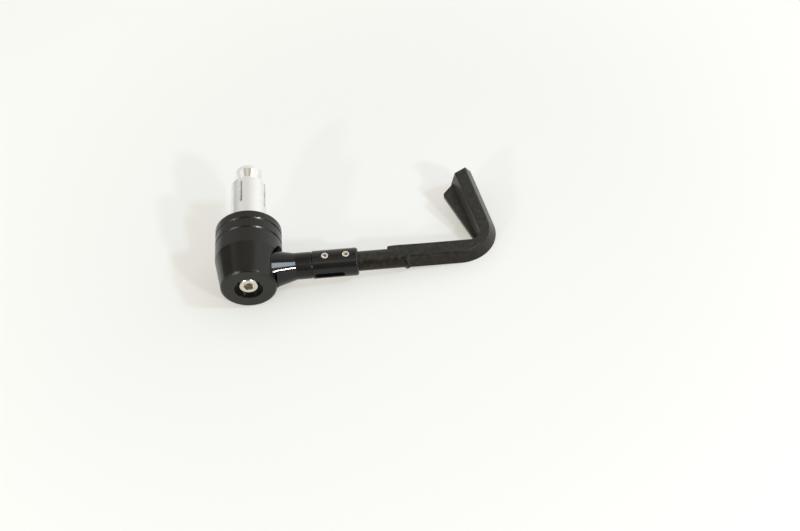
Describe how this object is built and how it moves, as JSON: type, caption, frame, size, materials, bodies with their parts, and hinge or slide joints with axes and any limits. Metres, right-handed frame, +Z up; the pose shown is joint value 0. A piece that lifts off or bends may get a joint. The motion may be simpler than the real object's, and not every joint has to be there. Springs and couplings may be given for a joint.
{
  "type": "brake lever guard",
  "caption": "Bar-end brake lever guard: tapered weight on an expander plug, a clamped arm with a tube socket and an L-shaped moulded blade that shields the lever.",
  "frame": {"origin": "on the handlebar's axis, at the face of the inner spacer ring that meets the end of the handlebar", "axes": "+Y along the handlebar towards its middle, +X forward along the arm, +Z up; the arm leans down so that the blade's bend is level with the body's underside"},
  "size_m": [0.1427, 0.0792, 0.034],
  "materials": {
    "body_anodised": "satin black anodised",
    "spacer_anodised": "satin black anodised",
    "bolt_stainless": "bright stainless",
    "sleeve_aluminium": "turned, uncoated",
    "cone_polished": "polished",
    "arm_anodised": "gloss black anodised",
    "screw_stainless": "bright stainless",
    "blade_nylon": "satin black, glass-filled nylon"
  },
  "bodies": {
    "root": {"bar_end_weight": "body_anodised", "spacer_ring_outer": "spacer_anodised", "spacer_ring_inner": "spacer_anodised", "clamp_bolt": "bolt_stainless", "expander_sleeve": "sleeve_aluminium", "expander_cone": "cone_polished", "guard_arm": "arm_anodised", "set_screws": "screw_stainless", "lever_blade": "blade_nylon"}
  },
  "joints": []
}
